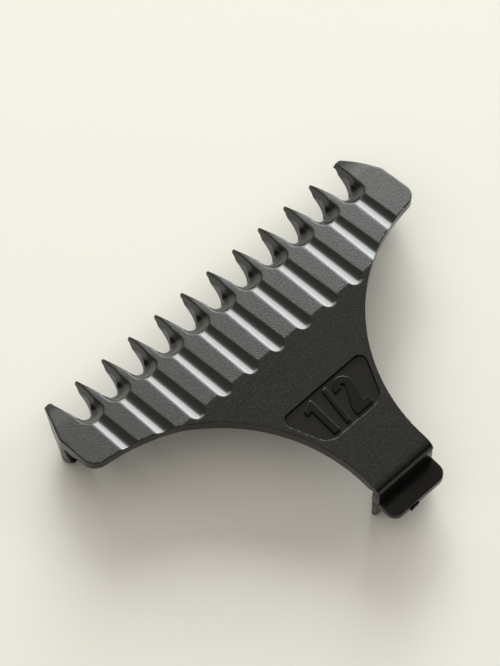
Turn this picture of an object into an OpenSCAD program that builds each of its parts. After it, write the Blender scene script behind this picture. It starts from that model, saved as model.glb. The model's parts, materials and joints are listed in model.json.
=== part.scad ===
// Clip-on guard comb for a hair trimmer with a wide T-shaped blade. Millimetres.
// +X runs along the tooth row, +Y points to the tooth tips, +Z is the outer, skin-side face.
// The origin lies on the surface the comb stands on, under the middle of its outline.
// The comb is one moulding: its fixed members meet face to face, and the latch at the tail flexes.

/* [Body] */
// Height of the flat outer face above the surface the comb stands on
body_height = 6.9; // [6.5:0.1:8.3]
// Distance from the facet line back to the outer face of the tail wall
body_length = 17.5; // [16.5:0.25:21]
// Thickness of the flat body plate
plate_t = 1.4; // [1.2:0.05:1.7]
// Width of the straight neck at the tail
neck_width = 7.1; // [6.5:0.1:8.6]
// Length of the straight neck in front of the tail wall's outer face
neck_length = 1.9; // [1.5:0.1:2.5]
// Radius of the two concave sides
waist_r = 18.2; // [17:0.1:22]
// Rounding of the rear corners of the end cheeks
cheek_corner_r = 1.6; // [1:0.1:2]

/* [Tooth row] */
// Distance between neighbouring teeth
tooth_pitch = 3.4; // [3.3:0.05:4.1]
// Width of a gap at the outer face
gap_width = 2.6; // [2.2:0.05:2.7]
// Narrowing of a gap on each side, per millimetre of depth
gap_draft = 0.29; // [0.2:0.01:0.32]
// Forward lean of the gap root, in degrees
root_lean = 30; // [15:1:35]
// Distance from the facet line to the gap roots
root_reach = 6.35; // [5.5:0.05:6.6]
// Distance from the facet line to the tooth tips
tip_reach = 11.65; // [11.3:0.05:14]
// Width of an end cheek, from its gap to its outer side
cheek_width = 2.7; // [2.4:0.1:3.3]

/* [Sloping comb plate] */
// Slope of the toothed front, in degrees
facet_angle = 15.3; // [12:0.1:16]
// Thickness of the sloping plate, square to its face
comb_t = 1.2; // [1:0.05:1.4]
// Radius of the round-bottomed grooves
groove_r = 1.29; // [1.1:0.01:1.5]
// Groove depth at the facet line
groove_depth_rear = 0.33; // [0.25:0.01:0.4]
// Groove depth at the gap root
groove_depth_front = 0.2; // [0.15:0.01:0.3]

/* [Teeth] */
// Length of the steeper nose at each tip
nose_length = 2.15; // [1.5:0.05:2.6]
// Slope of the nose, in degrees
nose_angle = 33; // [25:1:36]
// Height of the blunt end of a tip
tip_t = 0.35; // [0.2:0.05:0.5]
// Width of the blunt end of a tip
tip_width = 0.6; // [0.4:0.05:0.8]
// Thickness of the fin under each inner tooth
fin_t = 1.1; // [0.8:0.05:1.3]
// Distance from the facet line to the front face of the fins
fin_reach = 9.2; // [8.6:0.05:9.6]
// Length of a fin's foot along the tooth
foot_length = 2; // [1.6:0.1:2.4]
// Distance that a fin's rear edge runs back as it rises to the plate
fin_rake = 2.2; // [1.6:0.1:2.6]

/* [End cheeks] */
// Thickness of the outer cheek walls
cheek_t = 1; // [0.8:0.05:1.2]
// Distance from the facet line to where the cheek sides turn inwards
cheek_side_reach = 7.5; // [7:0.1:8]
// Distance of a cheek's tip inside its outer side
cheek_tip_inset = 1.7; // [1.4:0.1:1.9]
// Height of the step above the cheek feet
cheek_step = 1.7; // [1.2:0.1:2]
// Inset of a cheek foot behind the wall above it
cheek_foot_inset = 0.12; // [0.05:0.01:0.2]
// Distance from the facet line to the front of a cheek foot
cheek_foot_reach = 8.2; // [7.8:0.1:8.6]
// Length of a cheek foot along the side
cheek_foot_length = 1.3; // [1:0.1:1.6]
// Distance that a cheek's rear edge runs back as it rises to the plate
cheek_rake = 2.6; // [2:0.1:2.8]

/* [Size label] */
// Distance from the facet line back to the label pocket
pocket_setback = 5.88; // [5:0.1:6.5]
// Length of the label pocket along the body
pocket_length = 4.87; // [4:0.1:5.2]
// Distance from the concave sides to the pocket
pocket_margin = 0.78; // [0.7:0.02:1.1]
// Rounding of the pocket's corners
pocket_corner_r = 1; // [0.6:0.1:1.3]
// Depth of the pocket
pocket_depth = 0.3; // [0.2:0.05:0.45]
// Distance that the raised numerals stay below the outer face
numeral_drop = 0.04; // [0:0.01:0.1]
// Clear space in front of and behind the numerals
numeral_clearance = 0.38; // [0.3:0.02:0.6]
// Stroke width of the numerals
numeral_stroke = 0.78; // [0.6:0.02:0.9]

/* [Tail latch] */
// Thickness of the latch wall
latch_t = 1.05; // [0.9:0.05:1.2]
// Side clearance of the latch inside the neck's width
latch_side_inset = 0.1; // [0.05:0.01:0.2]
// Radius of the rounded hinge bead along the top of the wall
hinge_r = 0.65; // [0.55:0.01:0.7]
// Clearance round the hinge bead
hinge_clearance = 0.05; // [0.03:0.01:0.08]
// Distance from the outer face down to the foot of the wall, where the lip begins
wall_drop = 3.55; // [3.2:0.05:4]
// Inset of the lip behind the wall above it
lip_inset = 0.1; // [0.05:0.01:0.15]
// Thickness of the lip at its bottom edge
lip_bottom_t = 0.65; // [0.5:0.05:0.8]
// Distance that the catch ridge reaches under the blade
catch_depth = 0.5; // [0.3:0.05:0.7]
// Height of the catch ridge
catch_height = 1.1; // [0.9:0.1:1.4]
// Height of the catch ridge's lower edge above the standing surface
catch_rise = 0.7; // [0.5:0.1:1]
// Distance from each end of the lip to the catch ridge
catch_margin = 1.2; // [0.8:0.1:1.6]

/* [Thumb tab] */
// Length of the thumb tab behind the wall
tab_length = 2.15; // [1.8:0.05:2.6]
// Thickness of the thumb tab
tab_t = 1.05; // [0.85:0.05:1.2]
// Distance from the outer face down to the tab's upper side
tab_drop = 2.8; // [2.2:0.05:2.9]
// Rounding of the tab's corners
tab_corner_r = 1.1; // [0.8:0.05:1.4]
// Width of the trimmed gate stub on the tab's edge
gate_width = 1.1; // [0.8:0.1:1.4]
// Height of the gate stub
gate_height = 0.45; // [0.3:0.05:0.6]
// Distance that the gate stub stands out
gate_depth = 0.2; // [0.1:0.05:0.3]
// Distance of the gate stub from the middle of the tab
gate_offset = 0.9; // [0.5:0.1:1.2]

/* [Hidden] */
$fn = 64;
TOOTH_COUNT = 12;
GAP_COUNT = TOOTH_COUNT - 1;
CORNER_STEPS = 6;
REACH = 60;

// Overall outline
comb_width = (GAP_COUNT - 1) * tooth_pitch + gap_width + 2 * cheek_width;
comb_length = tip_reach + body_length + tab_length + gate_depth;
tip_y = comb_length / 2;
facet_y = tip_y - tip_reach;
tail_y = facet_y - body_length;
top_z = body_height;
plate_z = top_z - plate_t;

// Concave sides and cheek corners
waist_x = neck_width / 2 + waist_r;
waist_y = tail_y + neck_length;
corner_x = comb_width / 2 - cheek_corner_r;
corner_y = waist_y + sqrt(pow(waist_r + cheek_corner_r, 2) - pow(waist_x - corner_x, 2));
tangent_x = waist_x + (corner_x - waist_x) * waist_r / (waist_r + cheek_corner_r);
tangent_y = waist_y + (corner_y - waist_y) * waist_r / (waist_r + cheek_corner_r);

// Sloping front
root_y = facet_y + root_reach;
lean_draft = gap_draft * cos(root_lean);
root_rise = -gap_width / 2 * sin(root_lean) / (cos(root_lean) - lean_draft * sin(root_lean));
root_run = gap_width / 2 * cos(root_lean) - root_rise * (sin(root_lean) + lean_draft * cos(root_lean));
axis_y = root_y + root_run * cos(facet_angle);
row_y = axis_y + 0.15;
nose_y = tip_y - nose_length;
cheek_side_y = facet_y + cheek_side_reach;
comb_drop = comb_t / cos(facet_angle);
nose_z = facet_z(nose_y);
tip_z = nose_z - nose_length * tan(nose_angle);

// Fins under the teeth
fin_front_y = facet_y + fin_reach;
foot_back_y = fin_front_y - foot_length;
fin_back_y = foot_back_y - fin_rake;
scoop_r = tip_y - fin_front_y;
scoop_z = tip_z - tip_t - scoop_r;

// Cheek walls
cheek_foot_y = facet_y + cheek_foot_reach;
cheek_heel_y = cheek_foot_y - cheek_foot_length;
cheek_back_y = cheek_heel_y - cheek_rake;

// Label
pocket_front_y = facet_y - pocket_setback;
pocket_back_y = pocket_front_y - pocket_length;
pocket_z = top_z - pocket_depth;
numeral_h = pocket_length - 2 * numeral_clearance;
numeral_y = pocket_back_y + numeral_clearance;
numeral_t = pocket_depth - numeral_drop;

// Latch
latch_w = neck_width - 2 * latch_side_inset;
hinge_y = tail_y + hinge_r;
hinge_z = top_z - hinge_r;
wall_front_y = tail_y + latch_t;
wall_foot_z = top_z - wall_drop;
lip_w = latch_w - 2 * lip_inset;
tab_z = top_z - tab_drop - tab_t;
tab_back_y = tail_y - tab_length;

// Height of the sloping outer face at y, and half the outline's width there
function facet_z(y) = top_z - max(0, y - facet_y) * tan(facet_angle);
function waist_half(y) = waist_x - sqrt(pow(waist_r, 2) - pow(max(0, y - waist_y), 2));
function tooth_x(n) = (n - (TOOTH_COUNT + 1) / 2) * tooth_pitch;
function gap_x(n) = (n - (GAP_COUNT + 1) / 2) * tooth_pitch;

// A closed outline whose corners are rounded by arcs
function unit(v) = v / norm(v);
function corner_arc(a, b, c, r) =
    let (u = unit(a - b), v = unit(c - b),
         half = acos(u * v) / 2,
         centre = b + unit(u + v) * r / sin(half),
         from = b + u * r / tan(half) - centre,
         to = b + v * r / tan(half) - centre)
    [for (i = [0 : CORNER_STEPS])
        let (w = i / CORNER_STEPS, sweep = acos(unit(from) * unit(to)))
        centre + (from * sin((1 - w) * sweep) + to * sin(w * sweep)) / sin(sweep)];
function rounded(points, r) =
    let (n = len(points))
    [for (i = [0 : n - 1])
        each corner_arc(points[(i + n - 1) % n], points[i], points[(i + 1) % n], r)];
function arc(centre, r, from, to, steps) =
    [for (i = [0 : steps]) let (a = from + (to - from) * i / steps) centre + r * [cos(a), sin(a)]];

// Extrudes a side view, drawn in (y, z), along X between two places
module side_prism(from_x, to_x) {
    translate([from_x, 0, 0]) rotate([90, 0, 90]) linear_extrude(to_x - from_x) children();
}

// The outline of both plates, from the tail to past the tips
module outline() {
    half = comb_width / 2;
    difference() {
        union() {
            translate([-tangent_x, tail_y]) square([2 * tangent_x, tangent_y - tail_y]);
            polygon([[-tangent_x, tangent_y], [tangent_x, tangent_y],
                     [corner_x, corner_y], [-corner_x, corner_y]]);
            translate([-half, corner_y]) square([comb_width, tip_y - corner_y]);
            for (side = [-1, 1]) translate([side * corner_x, corner_y]) circle(cheek_corner_r);
        }
        for (side = [-1, 1]) {
            translate([side * waist_x, waist_y]) circle(waist_r, $fn = 180);
            translate([side > 0 ? neck_width / 2 : -waist_x, tail_y - 1])
                square([waist_r, waist_y - tail_y + 1]);
        }
    }
}

// Round-bottomed channels that start at the gap roots and end in a ball just behind the facet line
module grooves() {
    run = root_reach / cos(facet_angle);
    extra_slope = atan((groove_depth_rear - groove_depth_front) / run);
    for (n = [1 : GAP_COUNT])
        translate([gap_x(n), facet_y, top_z + groove_r - groove_depth_rear]) {
            sphere(groove_r);
            rotate([-90 - facet_angle + extra_slope, 0, 0]) cylinder(h = 2 * run, r = groove_r);
        }
}

// The drafted space between two teeth: straight sides and a round root that leans forward
module gap_cutter() {
    deep = 3;
    high = 2;
    half = gap_width / 2;
    translate([0, axis_y, facet_z(axis_y)]) rotate([-facet_angle, 0, 0]) {
        rotate([root_lean, 0, 0]) translate([0, 0, -deep])
            cylinder(h = deep + high, r1 = half - deep * lean_draft, r2 = half + high * lean_draft);
        difference() {
            translate([0, -deep, 0]) rotate([-90, 0, 0]) linear_extrude(REACH)
                polygon([[-half - high * gap_draft, -high], [half + high * gap_draft, -high],
                         [half - deep * gap_draft, deep], [-half + deep * gap_draft, deep]]);
            rotate([root_lean, 0, 0]) translate([-REACH / 2, -REACH, -REACH / 2]) cube(REACH);
        }
    }
}

module gap_cutters() {
    for (n = [1 : GAP_COUNT]) translate([gap_x(n), 0, 0]) gap_cutter();
}

// Flat body plate with the label pocket and the socket for the hinge bead
module body_plate() {
    color("#242527") difference() {
        intersection() {
            translate([0, 0, plate_z]) linear_extrude(plate_t) outline();
            side_prism(-comb_width, comb_width)
                polygon([[facet_y, 0], [facet_y, REACH], [hinge_y, REACH], [hinge_y, hinge_z],
                         [wall_front_y + 2 * hinge_clearance, hinge_z],
                         [wall_front_y + 2 * hinge_clearance, 0]]);
        }
        translate([-comb_width, hinge_y, hinge_z]) rotate([0, 90, 0])
            cylinder(h = 2 * comb_width, r = hinge_r + hinge_clearance);
        translate([0, 0, pocket_z]) linear_extrude(REACH) pocket_outline();
        grooves();
    }
}

module pocket_outline() {
    front = waist_half(pocket_front_y) - pocket_margin;
    back = waist_half(pocket_back_y) - pocket_margin;
    polygon(rounded([[-front, pocket_front_y], [-back, pocket_back_y],
                     [back, pocket_back_y], [front, pocket_front_y]], pocket_corner_r));
}

// Sloping plate between the facet line and the start of the free teeth
module comb_plate() {
    color("#2c2d30") difference() {
        intersection() {
            linear_extrude(REACH) outline();
            side_prism(-comb_width, comb_width)
                polygon([[facet_y, top_z], [facet_y, top_z - comb_drop],
                         [row_y, facet_z(row_y) - comb_drop], [row_y, facet_z(row_y)]]);
        }
        grooves();
        gap_cutters();
    }
}

// Side view of a tooth in front of the plate, from the row line to the blunt tip
module ridge_profile() {
    polygon([[row_y, facet_z(row_y)], [nose_y, nose_z], [tip_y, tip_z], [tip_y, tip_z - tip_t],
             [nose_y, nose_z - comb_drop], [row_y, facet_z(row_y) - comb_drop]]);
}

// Side view of a fin: it fills the tooth's underside, stands on a flat foot and rakes back
// up to the plate
module fin_profile() {
    difference() {
        polygon([[row_y, facet_z(row_y) - comb_drop], [row_y, facet_z(row_y) - comb_drop / 2],
                 [nose_y, nose_z - comb_drop / 2], [tip_y, tip_z - tip_t / 2], [tip_y, scoop_z],
                 [fin_front_y, scoop_z], [fin_front_y, 0],
                 [foot_back_y, 0], [fin_back_y, facet_z(fin_back_y) - comb_drop]]);
        translate([tip_y, scoop_z]) circle(scoop_r);
    }
}

// One inner tooth: a drafted ridge that narrows to its tip, and the fin below it
module tooth(n) {
    wide = tooth_pitch - gap_width + 2 * gap_draft * comb_t + 0.1;
    color("#303236") difference() {
        intersection() {
            union() {
                side_prism(tooth_x(n) - tooth_pitch / 2, tooth_x(n) + tooth_pitch / 2) ridge_profile();
                side_prism(tooth_x(n) - fin_t / 2, tooth_x(n) + fin_t / 2) fin_profile();
            }
            translate([tooth_x(n), 0, 0]) linear_extrude(REACH)
                polygon([[-tooth_pitch / 2, fin_back_y], [-tooth_pitch / 2, fin_front_y - 0.1],
                         [-wide / 2, fin_front_y - 0.1], [-tip_width / 2, tip_y],
                         [tip_width / 2, tip_y], [wide / 2, fin_front_y - 0.1],
                         [tooth_pitch / 2, fin_front_y - 0.1], [tooth_pitch / 2, fin_back_y]]);
        }
        gap_cutters();
    }
}

// Side view of an outer cheek wall, down to its stepped foot
module cheek_profile() {
    difference() {
        polygon([[row_y, facet_z(row_y) - comb_drop], [row_y, facet_z(row_y) - comb_drop / 2],
                 [nose_y, nose_z - comb_drop / 2], [tip_y, tip_z - tip_t / 2], [tip_y, scoop_z],
                 [fin_front_y, scoop_z], [fin_front_y, cheek_step], [cheek_foot_y, cheek_step],
                 [cheek_foot_y - 0.2, cheek_step / 3], [cheek_foot_y - 0.6, 0], [cheek_heel_y, 0],
                 [cheek_back_y, facet_z(cheek_back_y) - comb_drop]]);
        translate([tip_y, scoop_z]) circle(scoop_r);
    }
}

// One end cheek: the wide end tooth, its fin beside the gap and the outer wall with its foot
module cheek() {
    side_x = comb_width / 2;
    fin_x = tooth_x(TOOTH_COUNT) - fin_t / 2;
    color("#303236") difference() {
        intersection() {
            union() {
                side_prism(fin_x - tooth_pitch / 2, side_x) ridge_profile();
                side_prism(fin_x, fin_x + fin_t) fin_profile();
                intersection() {
                    side_prism(fin_x, side_x) cheek_profile();
                    linear_extrude(REACH) cheek_band(side_x, cheek_t);
                }
            }
            linear_extrude(REACH) cheek_band(side_x, REACH);
        }
        gap_cutters();
        linear_extrude(cheek_step) difference() {
            cheek_band(side_x + 1, 1 + cheek_foot_inset);
            square([side_x - cheek_t, tip_y]);
        }
    }
}

// Plan of a band along a cheek's outer side, of the given width inwards
module cheek_band(side_x, width) {
    tip_x = side_x - cheek_tip_inset;
    polygon([[side_x, 0], [side_x, cheek_side_y], [tip_x, tip_y],
             [tip_x - width, tip_y], [side_x - width, cheek_side_y], [side_x - width, 0]]);
}

// Numerals stand on the pocket floor; their strokes share one width
module numeral() {
    color("#26272a") translate([0, numeral_y, pocket_z]) linear_extrude(numeral_t) children();
}

module numeral_one() {
    right = -0.39 * numeral_h;
    left = right - numeral_stroke;
    flag = 0.15 * numeral_h;
    numeral()
        polygon([[right, 0], [right, numeral_h], [left + 0.1 * numeral_h, numeral_h],
                 [left - flag, 0.88 * numeral_h], [left - flag, 0.74 * numeral_h],
                 [left, 0.76 * numeral_h], [left, 0]]);
}

module numeral_slash() {
    lean = 0.13 * numeral_h;
    left = -0.19 * numeral_h;
    width = 0.7 * numeral_stroke;
    numeral()
        polygon([[left, 0], [left + width, 0], [left + width + lean, numeral_h], [left + lean, numeral_h]]);
}

module numeral_two() {
    outer = 0.25 * numeral_h;
    inner = outer - numeral_stroke;
    left = 0.13 * numeral_h;
    centre = [left + outer, numeral_h - outer];
    foot = 0.19 * numeral_h;
    turn = -35;
    numeral()
        polygon(concat(
            arc(centre, outer, 185, turn, 14),
            [[left + 0.36 * numeral_h, foot], [left + 2 * outer, foot],
             [left + 2 * outer, 0], [left, 0], [left + 0.02 * numeral_h, foot]],
            arc(centre, inner, turn, 185, 10)));
}

// Latch wall: the hinge bead along its top and the flat wall under it
module latch_wall() {
    color("#1b1c1e") {
        side_prism(-latch_w / 2, latch_w / 2) union() {
            translate([hinge_y, hinge_z]) circle(hinge_r);
            translate([tail_y, wall_foot_z]) square([latch_t, hinge_z - wall_foot_z]);
        }
    }
}

// Lip under the wall, slightly set in, tapering to the edge that the comb stands on
module catch_lip() {
    color("#1b1c1e") side_prism(-lip_w / 2, lip_w / 2)
        polygon([[wall_front_y, 0], [wall_front_y, wall_foot_z], [tail_y + lip_inset, wall_foot_z],
                 [wall_front_y - lip_bottom_t, 0.4], [wall_front_y - lip_bottom_t + 0.25, 0]]);
}

// Wedge on the inner face of the lip that snaps under the rear edge of the blade
module catch_ridge() {
    half = lip_w / 2 - catch_margin;
    color("#1b1c1e") side_prism(-half, half)
        polygon([[wall_front_y, catch_rise], [wall_front_y, catch_rise + catch_height],
                 [wall_front_y + catch_depth, catch_rise + catch_height],
                 [wall_front_y + catch_depth, catch_rise + catch_height - 0.3]]);
}

module thumb_tab() {
    half = latch_w / 2;
    color("#1b1c1e") translate([0, 0, tab_z]) linear_extrude(tab_t)
        polygon(concat([[half, tail_y], [-half, tail_y]],
                       arc([-half + tab_corner_r, tab_back_y + tab_corner_r], tab_corner_r, 180, 270, 10),
                       arc([half - tab_corner_r, tab_back_y + tab_corner_r], tab_corner_r, 270, 360, 10)));
}

module gate_stub() {
    color("#1b1c1e") translate([-gate_offset - gate_width / 2, tab_back_y - gate_depth, tab_z])
        cube([gate_width, gate_depth, gate_height]);
}

body_plate();
comb_plate();
mirror([1, 0, 0]) cheek();  // left_cheek
tooth(2);  // tooth_2
tooth(3);  // tooth_3
tooth(4);  // tooth_4
tooth(5);  // tooth_5
tooth(6);  // tooth_6
tooth(7);  // tooth_7
tooth(8);  // tooth_8
tooth(9);  // tooth_9
tooth(10);  // tooth_10
tooth(11);  // tooth_11
cheek();  // right_cheek
numeral_one();
numeral_slash();
numeral_two();
latch_wall();
catch_lip();
catch_ridge();
thumb_tab();
gate_stub();
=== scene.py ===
"""Clip-on guard comb for a hair trimmer: one black moulding with a sprung tail latch.

The pieces are shaped in millimetres and turned into metres when they are placed.
+X runs along the tooth row, +Y points to the tooth tips and +Z is the outer, skin-side face.
"""
import json
import math

import bmesh
import bpy
import numpy
from mathutils import Matrix, Vector

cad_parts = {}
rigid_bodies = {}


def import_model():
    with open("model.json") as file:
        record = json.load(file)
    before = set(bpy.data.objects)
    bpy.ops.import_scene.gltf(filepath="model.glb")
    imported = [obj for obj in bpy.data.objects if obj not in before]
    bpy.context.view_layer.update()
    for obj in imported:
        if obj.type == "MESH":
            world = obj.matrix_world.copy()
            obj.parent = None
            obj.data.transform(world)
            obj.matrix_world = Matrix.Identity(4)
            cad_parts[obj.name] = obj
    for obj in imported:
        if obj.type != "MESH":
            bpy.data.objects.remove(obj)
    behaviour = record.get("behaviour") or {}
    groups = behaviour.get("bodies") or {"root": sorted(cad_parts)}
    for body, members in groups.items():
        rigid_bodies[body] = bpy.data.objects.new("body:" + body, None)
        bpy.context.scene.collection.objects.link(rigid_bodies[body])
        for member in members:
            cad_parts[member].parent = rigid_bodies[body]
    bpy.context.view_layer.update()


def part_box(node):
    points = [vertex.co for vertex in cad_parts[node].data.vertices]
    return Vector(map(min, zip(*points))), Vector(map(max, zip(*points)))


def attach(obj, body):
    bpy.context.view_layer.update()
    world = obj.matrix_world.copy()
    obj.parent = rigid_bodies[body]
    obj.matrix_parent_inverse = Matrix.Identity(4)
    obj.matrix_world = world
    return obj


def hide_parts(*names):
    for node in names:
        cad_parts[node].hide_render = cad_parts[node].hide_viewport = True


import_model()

MM = 0.001


def node_box(node):
    """Lowest and highest corner of a CAD node, in millimetres."""
    low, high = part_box(node)
    return low / MM, high / MM


# ---------------------------------------------------------------- sizes from the frame

BODY_LOW, BODY_HIGH = node_box("body_plate")
COMB_LOW, COMB_HIGH = node_box("comb_plate")
TOOTH_HIGH = node_box("tooth_6")[1]
WALL_LOW, WALL_HIGH = node_box("latch_wall")
LIP_LOW, LIP_HIGH = node_box("catch_lip")
RIDGE_LOW, RIDGE_HIGH = node_box("catch_ridge")
TAB_LOW, TAB_HIGH = node_box("thumb_tab")
STUB_LOW, STUB_HIGH = node_box("gate_stub")

TOP_Z = BODY_HIGH.z
UNDER_Z = BODY_LOW.z
FACET_Y = BODY_HIGH.y
ROW_Y = COMB_HIGH.y
TIP_Y = TOOTH_HIGH.y
TAIL_Y = WALL_LOW.y
SIDE_X = COMB_HIGH.x
TOOTH_COUNT = 12
TOOTH_PITCH = (node_box("tooth_11")[0].x - node_box("tooth_2")[0].x) / (TOOTH_COUNT - 3)
FACET_SLOPE = math.atan2(TOP_Z - TOOTH_HIGH.z, ROW_Y - FACET_Y)
COMB_DROP = TOOTH_HIGH.z - COMB_LOW.z
GAP_NUMBERS = range(1, TOOTH_COUNT)
COMB_SPACE = Matrix.Translation((0, FACET_Y, TOP_Z)) @ Matrix.Rotation(-FACET_SLOPE, 4, "X")

# ---------------------------------------------------------------- sizes of the moulding, in millimetres

# Plan of the body: straight neck, concave sides and rounded rear corners
NECK_HALF = 3.55
NECK_LENGTH = 1.9
WAIST_R = 18.2
CORNER_R = 1.6

# Tail: the rounding of its upper edge, the hinge line inside it and the underside's ramp
TAIL_R = 0.95
HINGE_R = 0.65
HINGE_Y = TAIL_Y + HINGE_R
HINGE_Z = TOP_Z - HINGE_R
SOCKET_DROP = HINGE_R * 0.6
BEAD_R = HINGE_R - 0.23
RAMP_Y = FACET_Y - 1.5

# Gaps: half their width at the face, and what each millimetre of depth does to their sides.
# The cutter's rings start above the face and end under the flanks
GAP_HALF = 1.3
GAP_ROOT_Y = FACET_Y + 6.35
GAP_DRAFT = 0.29
GAP_LEAN = 0.82
GAP_FLARE = 0.42
GAP_FLARE_DEPTH = 0.95
GAP_DEPTH = 2.1
GAP_RING_DEPTHS = (-1.2, GAP_FLARE_DEPTH, GAP_DEPTH)
GAP_OPEN_END = 30

# Grooves: a round cutter that rises towards the gap, with a ball end
GROOVE_R = 1.8
GROOVE_DEPTH_REAR = 0.21
GROOVE_DEPTH_FRONT = 0.15
GROOVE_BALL_Y = FACET_Y + 0.13
GROOVE_RUN = (GAP_ROOT_Y - FACET_Y) / math.cos(FACET_SLOPE)
GROOVE_SLOPE = FACET_SLOPE - math.atan2(GROOVE_DEPTH_REAR - GROOVE_DEPTH_FRONT, GROOVE_RUN)

# Teeth: the nose's curve, the blunt tip and the flank below the face
NOSE_Y = TIP_Y - 3.3
NOSE_THINNING = 0.6
TIP_SAG = 0.81
TIP_Z = TOOTH_HIGH.z - (TIP_Y - ROW_Y) * math.tan(FACET_SLOPE) - TIP_SAG
TIP_T = 0.35
TIP_HALF = 0.09
FLANK_DROP = 1.6
FLANK_BACK_Y = GAP_ROOT_Y - 0.7
THIN_Y = FLANK_BACK_Y - 0.8

# Tapers between the teeth: y, the ridge's height and half its width at each station.
# The rings start above the ridge, and the tapers go down past the floor
TAPER_STATIONS = ((12.6, 4.57, 0.4), (TIP_Y, 2.9, TIP_HALF), (TIP_Y + 1, 2.9, TIP_HALF))
TAPER_RING_DEPTHS = (-0.25, GAP_FLARE_DEPTH, GAP_DEPTH)
TAPER_BELOW = 2

# Fins under the teeth
FIN_T = 1.0
FIN_FRONT_Y = FACET_Y + 9.2
FIN_FOOT_Y = FIN_FRONT_Y - 2.0
FIN_BACK_Y = FIN_FOOT_Y - 2.2
SCOOP_R = TIP_Y - FIN_FRONT_Y

# Outer cheek walls, with a foot that is set in below a step
CHEEK_SIDE_Y = FACET_Y + 7.5
CHEEK_TIP_INSET = 1.7
CHEEK_T = 1.0
CHEEK_REACH = 3.2
CHEEK_STEP_Z = 1.7
CHEEK_STEP_LAP = 0.3
CHEEK_FOOT_INSET = 0.12
CHEEK_FOOT_Y = FACET_Y + 8.2
CHEEK_BEND_Y = CHEEK_FOOT_Y - 0.2
CHEEK_TOE_Y = CHEEK_FOOT_Y - 0.6
CHEEK_HEEL_Y = CHEEK_FOOT_Y - 1.3
CHEEK_BACK_Y = CHEEK_HEEL_Y - 2.6

# Label pocket and numerals
POCKET_FRONT_Y = FACET_Y - 5.88
POCKET_BACK_Y = POCKET_FRONT_Y - 4.87
POCKET_MARGIN = 0.84
POCKET_FRONT_R = 1.3
POCKET_BACK_R = 1.0
POCKET_DEPTH = 0.36
POCKET_TOOL_H = 1
NUMERAL_H = 4.11
NUMERAL_Y = POCKET_BACK_Y + 0.38
NUMERAL_T = 0.3
NUMERAL_STROKE = 0.78
NUMERAL_LAP = 0.05

# Latch: how far each piece laps into its neighbour, and the lip's and the ridge's edges
WALL_FRONT_Y = TAIL_Y + 1.05
LIP_BOTTOM_T = 0.65
LIP_LAP = 0.2
LIP_SHOULDER = 0.6
LIP_CHAMFER_Y = 0.25
LIP_CHAMFER_Z = 0.4
RIDGE_LAP = 0.2
RIDGE_EDGE_T = 0.3
TAB_CORNER_R = 1.1
TAB_LAP = 0.3
STUB_TEAR = 0.4

# Blanks and cutters reach past the comb, as far as here
PAST_SIDE_X = SIDE_X + 2
PAST_TIP_Y = TIP_Y + 1
PAST_TAIL_Y = TAIL_Y - 1
ABOVE_Z = TOP_Z + 1
BELOW_Z = -1

# The skin: its grid, its rounds of smoothing and where the teeth are cut from the plates
VOXEL = 0.08
EDGE_SOFTENING = 1
NOSE_SOFTENING = 10
NOSES_FROM_Y = GAP_ROOT_Y - 0.1
KEPT_SHARE = 0.5
SPLIT_BELOW = 0.15
SPLIT_BACK_Y = FACET_Y + 2
GROOVE_NEAR = 0.06
GROOVE_UNDER = (0.02, 0.4)

# Edges
SHADED_SHARP = math.radians(50)
BEVELLED_FROM = math.radians(35)
UPRIGHT_FROM = 0.5
SAME_PLACE = 0.01


def facet_z(y):
    """Height of the sloping outer face at y."""
    return TOP_Z - max(0.0, y - FACET_Y) * math.tan(FACET_SLOPE)


def waist_half(y):
    """Half the width of the body at y, between its concave sides."""
    return NECK_HALF + WAIST_R - math.sqrt(WAIST_R ** 2 - (y - TAIL_Y - NECK_LENGTH) ** 2)


def tooth_x(number):
    """Middle of a tooth, counted from 1 on the left."""
    return (number - (TOOTH_COUNT + 1) / 2) * TOOTH_PITCH


def gap_x(number):
    """Middle of a gap and of its groove, counted from 1 on the left."""
    return (number - TOOTH_COUNT / 2) * TOOTH_PITCH


def nose(steps=10, drop=0.0):
    """The nose of a tooth in side view, curving down to the tip; a drop shrinks to the tip's thickness."""
    sag = facet_z(TIP_Y) - TIP_Z
    heights = []
    for step in range(steps + 1):
        share = step / steps
        y = NOSE_Y + (TIP_Y - NOSE_Y) * share
        thinned = (drop - TIP_T) * share ** NOSE_THINNING if drop else 0.0
        heights.append((y, facet_z(y) - sag * share ** 2 - drop + thinned))
    return heights


# ---------------------------------------------------------------- modelling in millimetres

def new_object(name, data):
    """An object in the scene that shows some data."""
    made = bpy.data.objects.new(name, data)
    bpy.context.scene.collection.objects.link(made)
    return made


def piece_from(shape, name):
    """Turns a bmesh into an object whose faces point outwards."""
    bmesh.ops.recalc_face_normals(shape, faces=shape.faces)
    mesh = bpy.data.meshes.new(name)
    shape.to_mesh(mesh)
    shape.free()
    return new_object(name, mesh)


def prism(outline, lift):
    """A bmesh of a flat outline, a list of points, pushed along a direction."""
    shape = bmesh.new()
    face = shape.faces.new([shape.verts.new(point) for point in outline])
    pushed = bmesh.ops.extrude_face_region(shape, geom=[face])["geom"]
    moved = [part for part in pushed if isinstance(part, bmesh.types.BMVert)]
    bmesh.ops.translate(shape, verts=moved, vec=lift)
    return shape


def side_prism(name, profile, from_x, to_x):
    """A side view, drawn in (y, z), pushed along X."""
    outline = [(from_x, y, z) for y, z in profile]
    return piece_from(prism(outline, (to_x - from_x, 0, 0)), name)


def plan_prism(name, plan, from_z, to_z):
    """A plan, drawn in (x, y), pushed upwards."""
    outline = [(x, y, from_z) for x, y in plan]
    return piece_from(prism(outline, (0, 0, to_z - from_z)), name)


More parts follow.
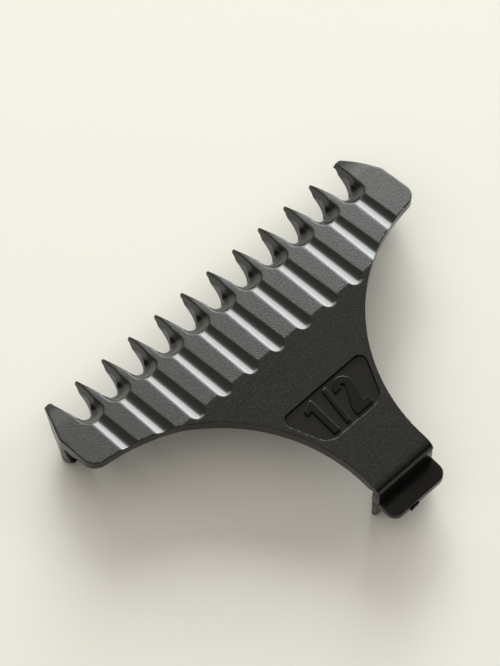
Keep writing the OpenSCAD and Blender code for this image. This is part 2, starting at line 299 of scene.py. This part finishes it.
def lofted(name, rings):
    """A closed shape through flat rings that hold the same number of points."""
    shape = bmesh.new()
    ends = [shape.faces.new([shape.verts.new(point) for point in ring]) for ring in rings]
    for near, far in zip(ends, ends[1:]):
        bmesh.ops.bridge_loops(shape, edges=list(near.edges) + list(far.edges))
    bmesh.ops.delete(shape, geom=ends[1:-1], context="FACES_ONLY")
    return piece_from(shape, name)


def arc(centre, radius, start, end, steps):
    """Points on an arc, with its angles in degrees."""
    angles = [math.radians(start + (end - start) * step / steps) for step in range(steps + 1)]
    return [(centre[0] + radius * math.cos(a), centre[1] + radius * math.sin(a)) for a in angles]


def upright_edges(shape, chosen):
    """The edges along Z whose two ends pass a test of their y."""
    return [edge for edge in shape.edges if all(chosen(end.co.y) for end in edge.verts)
            and abs(edge.verts[0].co.z - edge.verts[1].co.z) > UPRIGHT_FROM]


def round_corners(shape, corners, radius):
    """Rounds chosen edges of a bmesh to a radius."""
    bmesh.ops.bevel(shape, geom=corners, offset=radius, offset_type="OFFSET", segments=10,
                    profile=0.5, affect="EDGES", material=-1)


def bevelled(shape, name, width, segments=3):
    """A piece whose sharp edges are rounded."""
    bmesh.ops.recalc_face_normals(shape, faces=shape.faces)
    sharp = [edge for edge in shape.edges if edge.calc_face_angle(0) > BEVELLED_FROM]
    bmesh.ops.bevel(shape, geom=sharp, offset=width, offset_type="OFFSET", segments=segments,
                    profile=0.5, affect="EDGES", clamp_overlap=True, material=-1)
    return piece_from(shape, name)


def settle(piece):
    """Applies a piece's modifiers."""
    shown = piece.evaluated_get(bpy.context.evaluated_depsgraph_get())
    mesh = bpy.data.meshes.new_from_object(shown)
    piece.modifiers.clear()
    old = piece.data
    piece.data = mesh
    bpy.data.meshes.remove(old)
    return piece


def shape_with(piece, operation, tool, keep_tool=False):
    """Cuts, joins or crosses a piece with a tool."""
    change = piece.modifiers.new("shape", "BOOLEAN")
    change.operation = operation
    change.solver = "MANIFOLD"
    change.object = tool
    settle(piece)
    if not keep_tool:
        bpy.data.objects.remove(tool)
    return piece


def smooth_out(piece, rounds, group=""):
    """Adds rounds of smoothing, all over or inside a vertex group."""
    soften = piece.modifiers.new("soften", "SMOOTH")
    soften.factor = 0.5
    soften.iterations = rounds
    soften.vertex_group = group


def gather(name, parts):
    """One object from several closed shapes."""
    joined = bmesh.new()
    for part in parts:
        joined.from_mesh(part.data)
        bpy.data.objects.remove(part)
    mesh = bpy.data.meshes.new(name)
    joined.to_mesh(mesh)
    joined.free()
    return new_object(name, mesh)


def copy_of(piece, name):
    """A second object with its own copy of a piece's mesh."""
    return new_object(name, piece.data.copy())


def smooth_shading(piece):
    """Smooth faces, with the cut ends kept sharp."""
    for face in piece.data.polygons:
        face.use_smooth = True
    piece.data.set_sharp_from_angle(angle=SHADED_SHARP)
    return piece


def place(piece, body, material, stands_for):
    """Turns a shaped piece into metres, gives it its body and finish, and hides the CAD nodes that it stands
    for.
    """
    piece.data.transform(Matrix.Scale(MM, 4))
    piece.data.update()
    piece.data.materials.clear()
    piece.data.materials.append(material)
    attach(piece, body)
    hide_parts(*stands_for)
    return piece


# ---------------------------------------------------------------- the comb moulding

def comb_outline():
    """Plan of the whole comb: straight neck, concave sides, rounded rear corners and slanted cheeks."""
    waist = (NECK_HALF + WAIST_R, TAIL_Y + NECK_LENGTH)
    corner_x = SIDE_X - CORNER_R
    rise = math.sqrt((WAIST_R + CORNER_R) ** 2 - (waist[0] - corner_x) ** 2)
    corner = (corner_x, waist[1] + rise)
    meet = math.degrees(math.atan2(rise, corner_x - waist[0]))
    right = [(NECK_HALF, PAST_TAIL_Y)]
    right += arc(waist, WAIST_R, 180, meet, 60)
    right += arc(corner, CORNER_R, meet + 180, 360, 12)[1:]
    right += [(SIDE_X, CHEEK_SIDE_Y), (SIDE_X - CHEEK_TIP_INSET, TIP_Y)]
    return right + [(-x, y) for x, y in reversed(right)]


def plate_profile():
    """Side view of the plates and the teeth's ridges, from the rounded tail to the blunt tips."""
    tail = (TAIL_Y + TAIL_R, TOP_Z - TAIL_R)
    return (arc(tail, TAIL_R, 180, 90, 16) + [(FACET_Y, TOP_Z)] + nose() + nose(drop=FLANK_DROP)[::-1]
            + [(FLANK_BACK_Y, facet_z(FLANK_BACK_Y) - FLANK_DROP), (THIN_Y, facet_z(THIN_Y) - COMB_DROP),
               (FACET_Y, TOP_Z - COMB_DROP), (RAMP_Y, UNDER_Z), (HINGE_Y + HINGE_R, UNDER_Z),
               (HINGE_Y, HINGE_Z - SOCKET_DROP)])


def gap_half(depth, ridge=GAP_HALF):
    """Half the width of a gap at a depth: drafted, then flared in."""
    return ridge - GAP_DRAFT * depth - GAP_FLARE * max(0.0, depth - GAP_FLARE_DEPTH)


def gap_tool(number):
    """The space between two teeth: a round root that leans forward between drafted sides."""
    to_gap = Matrix.Translation((gap_x(number), 0, 0)) @ COMB_SPACE
    rings = []
    for depth in GAP_RING_DEPTHS:
        half = gap_half(depth)
        centre = GROOVE_RUN + GAP_HALF + GAP_LEAN * depth
        outline = arc((0, centre), half, 180, 360, 24) + [(half, GAP_OPEN_END), (-half, GAP_OPEN_END)]
        rings.append([to_gap @ Vector((x, y, -depth)) for x, y in outline])
    return lofted("gap_tool", rings)


def taper_tool(number):
    """Narrows the teeth on both sides of a gap towards their tips, with the same sides as the gap."""
    rings = []
    for y, ridge_z, wide in TAPER_STATIONS:
        side = [(gap_half(depth, TOOTH_PITCH / 2 - wide), depth) for depth in TAPER_RING_DEPTHS]
        side.append((side[-1][0], ridge_z + TAPER_BELOW))
        outline = side + [(-x, depth) for x, depth in reversed(side)]
        rings.append([(gap_x(number) + x, y, ridge_z - depth) for x, depth in outline])
    return lofted("taper_tool", rings)


def groove_start(number):
    """Middle of a groove's ball end."""
    return Vector((gap_x(number), GROOVE_BALL_Y, TOP_Z + GROOVE_R - GROOVE_DEPTH_REAR))


def channel_tool(number):
    """The round-bottomed channel of a groove, which gets shallower towards the gap."""
    length = 2 * GROOVE_RUN
    shape = bmesh.new()
    bmesh.ops.create_cone(shape, cap_ends=True, segments=96, radius1=GROOVE_R, radius2=GROOVE_R,
                          depth=length, matrix=Matrix.Translation((0, 0, -length / 2)))
    bmesh.ops.rotate(shape, verts=shape.verts, cent=(0, 0, 0),
                     matrix=Matrix.Rotation(math.pi / 2 - GROOVE_SLOPE, 3, "X"))
    bmesh.ops.translate(shape, verts=shape.verts, vec=groove_start(number))
    return piece_from(shape, "channel_tool")


def ball_tool(number):
    """The ball end of a groove, centred just in front of the facet line."""
    shape = bmesh.new()
    bmesh.ops.create_uvsphere(shape, u_segments=96, v_segments=48, radius=GROOVE_R)
    bmesh.ops.translate(shape, verts=shape.verts, vec=groove_start(number))
    return piece_from(shape, "ball_tool")


def under_profile(scoop_end, scoop_steps, foot, back_y):
    """Side view of what hangs below the teeth: the scoop under the tip, a foot and the slanted back."""
    scoop = (TIP_Y, TIP_Z - TIP_T - SCOOP_R)
    inside = COMB_DROP / 2
    return (arc(scoop, SCOOP_R, 90, scoop_end, scoop_steps) + foot
            + [(back_y, facet_z(back_y) - COMB_DROP), (back_y, facet_z(back_y) - inside)]
            + nose(drop=inside) + [(TIP_Y, TIP_Z - TIP_T / 2)])


def fin_profile():
    """Side view of the fin under a tooth."""
    return under_profile(180, 16, [(FIN_FRONT_Y, 0), (FIN_FOOT_Y, 0)], FIN_BACK_Y)


def cheek_profile():
    """Side view of an outer cheek wall, down to its stepped foot."""
    foot = [(FIN_FRONT_Y, CHEEK_STEP_Z), (CHEEK_FOOT_Y, CHEEK_STEP_Z), (CHEEK_BEND_Y, CHEEK_STEP_Z / 3),
            (CHEEK_TOE_Y, 0), (CHEEK_HEEL_Y, 0)]
    return under_profile(145, 8, foot, CHEEK_BACK_Y)


def cheek_band(side, inset, width):
    """Plan of a band along a cheek's outer side."""
    outer = SIDE_X - inset
    tip = outer - CHEEK_TIP_INSET
    plan = [(outer, FACET_Y), (outer, CHEEK_SIDE_Y), (tip, TIP_Y),
            (tip - width, TIP_Y), (outer - width, CHEEK_SIDE_Y), (outer - width, FACET_Y)]
    return [(side * x, y) for x, y in plan]


def cheek_walls():
    """Both outer walls: the full wall above the step, and the foot set in below it."""
    levels = ((0, CHEEK_STEP_Z, TOP_Z), (CHEEK_FOOT_INSET, BELOW_Z, CHEEK_STEP_Z + CHEEK_STEP_LAP))
    walls = []
    for side in (-1, 1):
        for inset, low_z, high_z in levels:
            wall = side_prism("cheek_wall", cheek_profile(), side * (SIDE_X - CHEEK_REACH),
                              side * (SIDE_X + CHEEK_T))
            band = plan_prism("cheek_band", cheek_band(side, inset, CHEEK_T - inset), low_z, high_z)
            walls.append(shape_with(wall, "INTERSECT", band))
    return walls


def pocket_tool():
    """The label pocket, whose sides follow the concave sides of the body."""
    front, back = (waist_half(y) - POCKET_MARGIN for y in (POCKET_FRONT_Y, POCKET_BACK_Y))
    plan = [(-front, POCKET_FRONT_Y), (-back, POCKET_BACK_Y), (back, POCKET_BACK_Y), (front, POCKET_FRONT_Y)]
    shape = prism([(x, y, TOP_Z - POCKET_DEPTH) for x, y in plan], (0, 0, POCKET_TOOL_H))
    for y, radius in ((POCKET_FRONT_Y, POCKET_FRONT_R), (POCKET_BACK_Y, POCKET_BACK_R)):
        round_corners(shape, upright_edges(shape, lambda end: abs(end - y) < SAME_PLACE), radius)
    return piece_from(shape, "pocket_tool")


def comb_blank():
    """The plates, the fins and the cheek walls with true edges, as closed shapes in one object."""
    tapers = gather("tapers", [taper_tool(n) for n in GAP_NUMBERS])
    plates = side_prism("plates", plate_profile(), -PAST_SIDE_X, PAST_SIDE_X)
    shape_with(plates, "INTERSECT", plan_prism("outline", comb_outline(), BELOW_Z, ABOVE_Z))
    for tool in (gap_tool, channel_tool, ball_tool):
        shape_with(plates, "DIFFERENCE", gather("tools", [tool(n) for n in GAP_NUMBERS]))
    shape_with(plates, "DIFFERENCE", pocket_tool())
    shape_with(plates, "DIFFERENCE", tapers, keep_tool=True)
    fins = gather("fins", [side_prism("fin", fin_profile(), x - FIN_T / 2, x + FIN_T / 2)
                           for x in map(tooth_x, range(1, TOOTH_COUNT + 1))])
    shape_with(fins, "DIFFERENCE", tapers)
    return gather("moulding", [plates, fins, *cheek_walls()])


def comb_moulding():
    """The fixed part of the comb in one skin with softened edges, still in one piece."""
    moulding = comb_blank()
    skin = moulding.modifiers.new("skin", "REMESH")
    skin.mode = "VOXEL"
    skin.voxel_size = VOXEL
    smooth_out(moulding, EDGE_SOFTENING)
    settle(moulding)
    noses = moulding.vertex_groups.new(name="noses")
    noses.add([v.index for v in moulding.data.vertices if v.co.y > NOSES_FROM_Y], 1.0, "REPLACE")
    smooth_out(moulding, NOSE_SOFTENING, "noses")
    settle(moulding)
    moulding.vertex_groups.clear()
    true_grooves(moulding)
    thin = moulding.modifiers.new("thin", "DECIMATE")
    thin.ratio = KEPT_SHARE
    return settle(moulding)


def true_grooves(moulding):
    """Brings the skin inside each groove back onto the exact round of its cutter."""
    points = numpy.empty(len(moulding.data.vertices) * 3)
    moulding.data.vertices.foreach_get("co", points)
    points = points.reshape(-1, 3)
    x, y, z = points.T
    number = numpy.clip(numpy.round(x / TOOTH_PITCH + TOOTH_COUNT / 2), 1, TOOTH_COUNT - 1)
    start = groove_start(TOOTH_COUNT // 2)
    from_start = numpy.stack((x - gap_x(number), y - start.y, z - start.z), axis=1)
    axis = numpy.array((0, math.cos(GROOVE_SLOPE), -math.sin(GROOVE_SLOPE)))
    along = numpy.maximum(from_start @ axis, 0)
    outward = from_start - along[:, None] * axis
    distance = numpy.linalg.norm(outward, axis=1)
    under = TOP_Z - numpy.maximum(y - FACET_Y, 0) * math.tan(FACET_SLOPE) - z
    least, most = GROOVE_UNDER
    near = (abs(distance - GROOVE_R) < GROOVE_NEAR) & (under > least) & (under < most) & (y < GAP_ROOT_Y)
    points[near] += outward[near] * (GROOVE_R / distance[near] - 1)[:, None]
    moulding.data.vertices.foreach_set("co", points.ravel())


def tooth_region():
    """Everything that belongs to the teeth: in front of the row line, and under the sloping plate."""
    under = [(ROW_Y, FLANK_DROP), (FLANK_BACK_Y, FLANK_DROP), (THIN_Y, COMB_DROP), (SPLIT_BACK_Y, COMB_DROP)]
    profile = ([(ROW_Y, ABOVE_Z)] + [(y, facet_z(y) - drop - SPLIT_BELOW) for y, drop in under]
               + [(SPLIT_BACK_Y, BELOW_Z), (PAST_TIP_Y, BELOW_Z), (PAST_TIP_Y, ABOVE_Z)])
    return side_prism("tooth_region", profile, -PAST_SIDE_X, PAST_SIDE_X)


def front_region():
    """Everything in front of the facet line."""
    profile = [(FACET_Y, BELOW_Z), (FACET_Y, ABOVE_Z), (PAST_TIP_Y, ABOVE_Z), (PAST_TIP_Y, BELOW_Z)]
    return side_prism("front", profile, -PAST_SIDE_X, PAST_SIDE_X)


def loose_parts(piece):
    """The separate closed shapes of a piece, from left to right."""
    before = set(bpy.data.objects)
    bpy.ops.object.select_all(action="DESELECT")
    piece.select_set(True)
    bpy.context.view_layer.objects.active = piece
    bpy.ops.mesh.separate(type="LOOSE")
    parts = [piece, *(set(bpy.data.objects) - before)]
    return sorted(parts, key=lambda part: sum(corner[0] for corner in part.bound_box))


def split_moulding(moulding):
    """Cuts the finished skin into the plates and the teeth, which still meet without a step."""
    region = tooth_region()
    teeth = copy_of(moulding, "teeth")
    shape_with(teeth, "INTERSECT", region, keep_tool=True)
    shape_with(moulding, "DIFFERENCE", region)
    front = front_region()
    comb_plate = copy_of(moulding, "comb_plate")
    shape_with(comb_plate, "INTERSECT", front, keep_tool=True)
    shape_with(moulding, "DIFFERENCE", front)
    names = ["left_cheek", *[f"tooth_{number}" for number in range(2, TOOTH_COUNT)], "right_cheek"]
    parts = loose_parts(teeth)
    if len(parts) != len(names):
        raise ValueError(f"the tooth row came apart into {len(parts)} shapes")
    return {"body_plate": moulding, "comb_plate": comb_plate, **dict(zip(names, parts))}


# ---------------------------------------------------------------- numerals

def plan_of_one():
    """Outline of the numeral 1, with a short flag and no foot."""
    right = -0.39 * NUMERAL_H
    left = right - NUMERAL_STROKE
    flag = left - 0.15 * NUMERAL_H
    return [(right, 0), (right, NUMERAL_H), (left + 0.1 * NUMERAL_H, NUMERAL_H), (flag, 0.88 * NUMERAL_H),
            (flag, 0.74 * NUMERAL_H), (left, 0.76 * NUMERAL_H), (left, 0)]


def plan_of_slash():
    """Outline of the slash, which leans to the right."""
    start, width, lean = -0.19 * NUMERAL_H, 0.7 * NUMERAL_STROKE, 0.13 * NUMERAL_H
    return [(start, 0), (start + width, 0), (start + width + lean, NUMERAL_H), (start + lean, NUMERAL_H)]


def plan_of_two():
    """Outline of the numeral 2: a round head, a slanted stroke and a straight foot."""
    head_r = 0.25 * NUMERAL_H
    left = 0.13 * NUMERAL_H
    foot = 0.19 * NUMERAL_H
    head = (left + head_r, NUMERAL_H - head_r)
    return (arc(head, head_r, 185, -35, 22)
            + [(left + 0.36 * NUMERAL_H, foot), (left + 2 * head_r, foot), (left + 2 * head_r, 0), (left, 0),
               (left + 0.02 * NUMERAL_H, foot)]
            + arc(head, head_r - NUMERAL_STROKE, -35, 185, 16))


def numeral(name, plan):
    """A numeral that stands on the pocket floor."""
    floor_z = TOP_Z - POCKET_DEPTH
    outline = [(x, y + NUMERAL_Y, floor_z - NUMERAL_LAP) for x, y in plan]
    return bevelled(prism(outline, (0, 0, NUMERAL_T + NUMERAL_LAP)), name, width=0.13, segments=2)


def numerals():
    """The three raised signs of the size, by node."""
    plans = {"numeral_one": plan_of_one(), "numeral_slash": plan_of_slash(), "numeral_two": plan_of_two()}
    return {name: numeral(name, plan) for name, plan in plans.items()}


# ---------------------------------------------------------------- latch

def latch_wall():
    """The sprung wall: its bead is hidden in the rounded tail of the body."""
    profile = ([(TAIL_Y, WALL_LOW.z), (TAIL_Y, TOP_Z - TAIL_R)]
               + arc((HINGE_Y, HINGE_Z), BEAD_R, 180, 55, 10) + [(WALL_FRONT_Y, WALL_LOW.z)])
    outline = [(WALL_LOW.x, y, z) for y, z in profile]
    return bevelled(prism(outline, (WALL_HIGH.x - WALL_LOW.x, 0, 0)), "latch_wall", width=0.1)


def catch_lip():
    """The lip under the wall, set in a little, which the comb stands on."""
    foot = WALL_FRONT_Y - LIP_BOTTOM_T
    profile = [(WALL_FRONT_Y, 0), (WALL_FRONT_Y, LIP_HIGH.z + LIP_LAP), (LIP_LOW.y, LIP_HIGH.z + LIP_LAP),
               (LIP_LOW.y, LIP_HIGH.z - LIP_SHOULDER), (foot, LIP_CHAMFER_Z), (foot + LIP_CHAMFER_Y, 0)]
    outline = [(LIP_LOW.x, y, z) for y, z in profile]
    return bevelled(prism(outline, (LIP_HIGH.x - LIP_LOW.x, 0, 0)), "catch_lip", width=0.1)


def catch_ridge():
    """The wedge that holds the rear edge of the blade."""
    back, reach = WALL_FRONT_Y - RIDGE_LAP, RIDGE_HIGH.y
    profile = [(back, RIDGE_LOW.z), (back, RIDGE_HIGH.z), (reach, RIDGE_HIGH.z),
               (reach, RIDGE_HIGH.z - RIDGE_EDGE_T), (WALL_FRONT_Y, RIDGE_LOW.z)]
    outline = [(RIDGE_LOW.x, y, z) for y, z in profile]
    return bevelled(prism(outline, (RIDGE_HIGH.x - RIDGE_LOW.x, 0, 0)), "catch_ridge", width=0.06)


def thumb_tab():
    """The tab behind the wall, with rounded corners and softened edges."""
    half = TAB_HIGH.x
    front = TAIL_Y + TAB_LAP
    plan = [(half, front), (-half, front), (-half, TAB_LOW.y), (half, TAB_LOW.y)]
    shape = prism([(x, y, TAB_LOW.z) for x, y in plan], (0, 0, TAB_HIGH.z - TAB_LOW.z))
    round_corners(shape, upright_edges(shape, lambda end: end < TAIL_Y), TAB_CORNER_R)
    return bevelled(shape, "thumb_tab", width=0.14, segments=4)


def gate_stub():
    """The rough stub left where the moulding was trimmed from its runner."""
    shape = bmesh.new()
    bmesh.ops.create_cube(shape, size=1)
    size = STUB_HIGH - STUB_LOW
    middle = (STUB_HIGH + STUB_LOW) / 2
    bmesh.ops.scale(shape, verts=shape.verts, vec=size)
    bmesh.ops.translate(shape, verts=shape.verts, vec=middle)
    for corner in shape.verts:
        if corner.co.y < middle.y and corner.co.x > middle.x:
            corner.co.y += STUB_TEAR * size.y
    return bevelled(shape, "gate_stub", width=0.05, segments=2)


# ---------------------------------------------------------------- finishes

# Polish in the grooves, in millimetres: its soft edge, how far that closes in towards the gaps,
# the fade at the gap roots and the lowest place it reaches
POLISH_EDGE = (0.78, 0.86)
POLISH_NARROWING = 0.17
POLISH_FADE = 0.1
POLISH_LOW_Z = UNDER_Z - 0.6

# Grain on the outer face: grains to a metre, its bump's depth and the depths where it fades, in millimetres
FINE_GRAIN = 11000
COARSE_GRAIN = 5200
GRAIN_BUMP = 0.02
GRAIN_FADES = (0.1, 0.25)
# The light specks fade with the grain and in the grooves: painted shade on the sides, the rounded tail and
# the groove walls
SPECK_LEVELS = (0.46, 0.66)
MOULDED_DARK = (0.0042, 0.0039, 0.0033, 1)
MOULDED_SPECK = (0.023, 0.0225, 0.0205, 1)

# The stoned surfaces of the latch and the numerals, in colours darker than the grained black: painted shade
# on the latch, the tab and the numerals
SCRATCHES = 2600
SCRATCH_BUMP = 0.005
SATIN_SHADE_DARK = (0.003, 0.0028, 0.0024, 1)
SATIN_SHADE_PALE = (0.006, 0.0057, 0.005, 1)


class Value:
    """A shader socket that works like a number in an expression."""

    def __init__(self, finish, socket):
        self.finish = finish
        self.socket = socket

    def __add__(self, other):
        return self.finish.maths("ADD", self, other)

    def __sub__(self, other):
        return self.finish.maths("SUBTRACT", self, other)

    def __rsub__(self, other):
        return self.finish.maths("SUBTRACT", other, self)

    def __mul__(self, other):
        return self.finish.maths("MULTIPLY", self, other)

    def __gt__(self, other):
        return self.finish.maths("GREATER_THAN", self, other)

    __radd__ = __add__
    __rmul__ = __mul__


class Finish:
    """A material and the nodes that are added to it."""

    def __init__(self, name):
        self.material = bpy.data.materials.new(name)
        self.material.use_nodes = True
        self.tree = self.material.node_tree
        self.shader = self.tree.nodes["Principled BSDF"]

    def node(self, kind, *values, settings=None, output=0, **named):
        """Adds a node: its settings first, then its sockets by order and by name."""
        made = self.tree.nodes.new(kind)
        for key, setting in (settings or {}).items():
            setattr(made, key, setting)
        pairs = list(enumerate(values)) + [(key.replace("_", " "), value) for key, value in named.items()]
        for key, value in pairs:
            self.feed(made.inputs[key], value)
        return Value(self, made.outputs[output])

    def feed(self, socket, value):
        """Links a socket to a value, or sets it to a plain number or colour."""
        if isinstance(value, Value):
            self.tree.links.new(value.socket, socket)
        else:
            socket.default_value = value

    def surface(self, **named):
        """Feeds the surface's sockets by name, and gives back the material."""
        for key, value in named.items():
            self.feed(self.shader.inputs[key.replace("_", " ")], value)
        return self.material

    def maths(self, operation, *values):
        """One step of arithmetic."""
        return self.node("ShaderNodeMath", *values, settings={"operation": operation})

    def place(self):
        """A point's place on the object."""
        return self.node("ShaderNodeTexCoord", output="Object")

    def position(self):
        """X, Y and Z of a point's place on the object."""
        outputs = self.node("ShaderNodeSeparateXYZ", self.place()).socket.node.outputs
        return [Value(self, outputs[axis]) for axis in "XYZ"]

    def mix_colour(self, share, first, second):
        """A colour between two others."""
        mixed = self.tree.nodes.new("ShaderNodeMix")
        mixed.data_type = "RGBA"
        for socket, value in zip((mixed.inputs[0], mixed.inputs[6], mixed.inputs[7]), (share, first, second)):
            self.feed(socket, value)
        return Value(self, mixed.outputs[2])

    def step(self, value, low, high):
        """A smooth step from 0 below low to 1 above high."""
        return self.node("ShaderNodeMapRange", value, low, high, 0.0, 1.0,
                         settings={"interpolation_type": "SMOOTHSTEP"})

    def grain(self, scale, detail):
        """Even noise, with about this many grains to a metre."""
        return self.node("ShaderNodeTexNoise", Vector=self.place(), Scale=scale, Detail=detail, Roughness=0.5)

    def bump(self, height, depth):
        """A normal that follows a height, with its depth in metres."""
        return self.node("ShaderNodeBump", Strength=1.0, Distance=depth, Height=height, output="Normal")


def blend(share, first, second):
    """A value between two others."""
    return first + (second - first) * share


def groove_mask(finish):
    """1 in the polished grooves and 0 on the grained face, from the grooves' own sizes."""
    x, y, z = finish.position()
    inner, outer = POLISH_EDGE
    across = finish.maths("PINGPONG", x, TOOTH_PITCH * MM / 2)
    behind = finish.maths("MAXIMUM", GROOVE_BALL_Y * MM - y, 0.0)
    reach = finish.maths("POWER", across * across + behind * behind, 0.5)
    narrowing = finish.node("ShaderNodeMapRange", y, FACET_Y * MM, GAP_ROOT_Y * MM, 0.0,
                            POLISH_NARROWING * MM)
    near = 1 - finish.step(reach + narrowing, inner * MM, outer * MM)
    last = gap_x(TOOTH_COUNT - 1) + TOOTH_PITCH / 2
    within = 1 - (finish.maths("ABSOLUTE", x) > last * MM)
    front = 1 - finish.step(y, (GAP_ROOT_Y - POLISH_FADE) * MM, (GAP_ROOT_Y + POLISH_FADE) * MM)
    return near * front * within * (z > POLISH_LOW_Z * MM)


def sunk_depth(finish):
    """How far a point lies under the outer face."""
    y, z = finish.position()[1:]
    ahead = finish.maths("MAXIMUM", y - FACET_Y * MM, 0.0)
    return TOP_Z * MM - ahead * math.tan(FACET_SLOPE) - z


def moulded_black(name):
    """Black plastic: spark-eroded grain on the outer face, smoother sides and polished grooves, with painted
    shade on the sides and in the grooves where the light specks fade.
    """
    finish = Finish(name)
    fine = finish.grain(FINE_GRAIN, 1.0)
    coarse = finish.grain(COARSE_GRAIN, 1.0)
    cloud = finish.grain(180, 2.0)
    polished_and_painted_shade = groove_mask(finish)
    smooth_and_painted_shade = finish.step(sunk_depth(finish), *(depth * MM for depth in GRAIN_FADES))
    facet = finish.position()[1] > FACET_Y * MM
    # Fewer light specks on the sides, the rounded tail and in the grooves paint shade there; a few fewer on
    # the sloping facets
    level = (1 - smooth_and_painted_shade * 0.8) * (1 - polished_and_painted_shade * 0.96) * (1 - facet * 0.15)
    specks_with_painted_shade = finish.step(fine * 0.4 + coarse * 0.6, *SPECK_LEVELS) * level
    return finish.surface(
        Base_Color=finish.mix_colour(specks_with_painted_shade, MOULDED_DARK, MOULDED_SPECK),
        Roughness=blend(polished_and_painted_shade, blend(smooth_and_painted_shade, blend(cloud, 0.33, 0.37), 0.26), 0.21),
        Normal=finish.bump((fine * 0.3 + coarse * 0.7) * level, GRAIN_BUMP * MM),
        Coat_Weight=polished_and_painted_shade * 0.25, Coat_Roughness=0.17, Specular_IOR_Level=0.32)


def satin_black(name):
    """Smoother black plastic, where the mould was only stoned, in a darker colour that paints shade onto
    these pieces.
    """
    finish = Finish(name)
    cloud = finish.grain(300, 2.0)
    return finish.surface(
        Base_Color=finish.mix_colour(cloud, SATIN_SHADE_DARK, SATIN_SHADE_PALE), Roughness=blend(cloud, 0.2, 0.28),
        Normal=finish.bump(finish.grain(SCRATCHES, 2.0), SCRATCH_BUMP * MM), Specular_IOR_Level=0.21)


# ---------------------------------------------------------------- studio

CAMERA_AIM = Vector((-1.22, 6.55, 7.35)) * MM
CAMERA_DISTANCE = 380.4 * MM
CAMERA_AZIMUTH = math.radians(43.181)
CAMERA_ELEVATION = math.radians(64.602)
CAMERA_LENS = 218.5
CAMERA_SENSOR = 36

FLOOR_HALF = 1.5
FLOOR_COLOUR = (0.79, 0.775, 0.735, 1)

# Each lamp stretches between two directions, as azimuth and elevation in degrees,
# and has a width in metres, a power in watts and a colour
LAMPS = {
    "window": ((10, 18), (92, 18), 0.58, 8.4, (0.98, 1.0, 0.93)),
    "side": ((-28, 24), (6, 24), 0.5, 2.4, (1.0, 0.98, 0.93)),
    "strip": ((33, 0.5), (64, 36), 0.3, 8.4, (0.96, 1.0, 1.0)),
}

ROOM_COLOUR = (1.0, 0.95, 0.86, 1)
ROOM_BRIGHT_SIDE = (-0.22, 0.1, 0.97)
ROOM_LEVEL = {"From Min": 0.1, "To Min": 0.02, "To Max": 0.83}


def camera():
    """Looks down on the comb from behind its left side, from far away."""
    lens = bpy.data.cameras.new("camera")
    lens.lens = CAMERA_LENS
    lens.sensor_width = CAMERA_SENSOR
    lens.clip_start, lens.clip_end = 0.01, 10
    back = Vector((-math.sin(CAMERA_AZIMUTH) * math.cos(CAMERA_ELEVATION),
                   -math.cos(CAMERA_AZIMUTH) * math.cos(CAMERA_ELEVATION), math.sin(CAMERA_ELEVATION)))
    made = new_object("camera", lens)
    made.location = CAMERA_AIM + back * CAMERA_DISTANCE
    made.rotation_euler = (math.pi / 2 - CAMERA_ELEVATION, 0, -CAMERA_AZIMUTH)
    bpy.context.scene.camera = made


def pale_floor():
    """A plain matt floor."""
    grid = bmesh.new()
    bmesh.ops.create_grid(grid, x_segments=1, y_segments=1, size=FLOOR_HALF)
    floor = piece_from(grid, "floor")
    floor.data.materials.append(Finish("floor").surface(Base_Color=FLOOR_COLOUR, Roughness=0.9))


def towards(azimuth, elevation):
    """The direction with these angles, in degrees, one metre long."""
    a, e = math.radians(azimuth), math.radians(elevation)
    return Vector((math.cos(a) * math.cos(e), math.sin(a) * math.cos(e), math.sin(e)))


def soft_lamp(name, one_end, other_end, width, power, colour):
    """A soft light one metre away that stretches between two directions."""
    light = bpy.data.lights.new(name, "AREA")
    light.shape = "RECTANGLE"
    light.size, light.size_y = (other_end - one_end).length, width
    light.energy = power
    light.color = colour
    out = (one_end + other_end).normalized()
    along = (other_end - one_end).normalized()
    turned = Matrix((along, out.cross(along), out)).transposed()
    new_object(name, light).matrix_world = Matrix.Translation(out) @ turned.to_4x4()


def room_light():
    """Soft light from all round, brightest overhead and a little to one side."""
    world = bpy.data.worlds.new("room")
    world.use_nodes = True
    tree = world.node_tree
    sky = tree.nodes.get("Background") or tree.nodes.new("ShaderNodeBackground")
    sky.inputs["Color"].default_value = ROOM_COLOUR
    direction = tree.nodes.new("ShaderNodeTexCoord")
    facing = tree.nodes.new("ShaderNodeVectorMath")
    facing.operation = "DOT_PRODUCT"
    facing.inputs[1].default_value = ROOM_BRIGHT_SIDE
    level = tree.nodes.new("ShaderNodeMapRange")
    for socket, number in ROOM_LEVEL.items():
        level.inputs[socket].default_value = number
    tree.links.new(direction.outputs["Generated"], facing.inputs[0])
    tree.links.new(facing.outputs["Value"], level.inputs["Value"])
    tree.links.new(level.outputs["Result"], sky.inputs["Strength"])
    bpy.context.scene.world = world


def studio():
    """The camera, a plain floor and soft light."""
    camera()
    pale_floor()
    for name, (one_end, other_end, width, power, colour) in LAMPS.items():
        soft_lamp(name, towards(*one_end), towards(*other_end), width, power, colour)
    room_light()
    bpy.context.scene.view_settings.view_transform = "Standard"


def assemble():
    """Makes every piece and puts it on its body."""
    grained = moulded_black("grained_black")
    satin_painted_shade = satin_black("satin_black")
    for name, piece in split_moulding(comb_moulding()).items():
        piece.name = name + "_skin"
        smooth_shading(piece)
        place(piece, "comb", grained, [name])
    for name, piece in numerals().items():
        piece.name = name + "_raised"
        place(piece, "comb", satin_painted_shade, [name])
    for make in (latch_wall, catch_lip, catch_ridge, thumb_tab, gate_stub):
        name = make.__name__
        piece = make()
        piece.name = name + "_sprung"
        smooth_shading(piece)
        place(piece, "latch", satin_painted_shade, [name])


assemble()
studio()
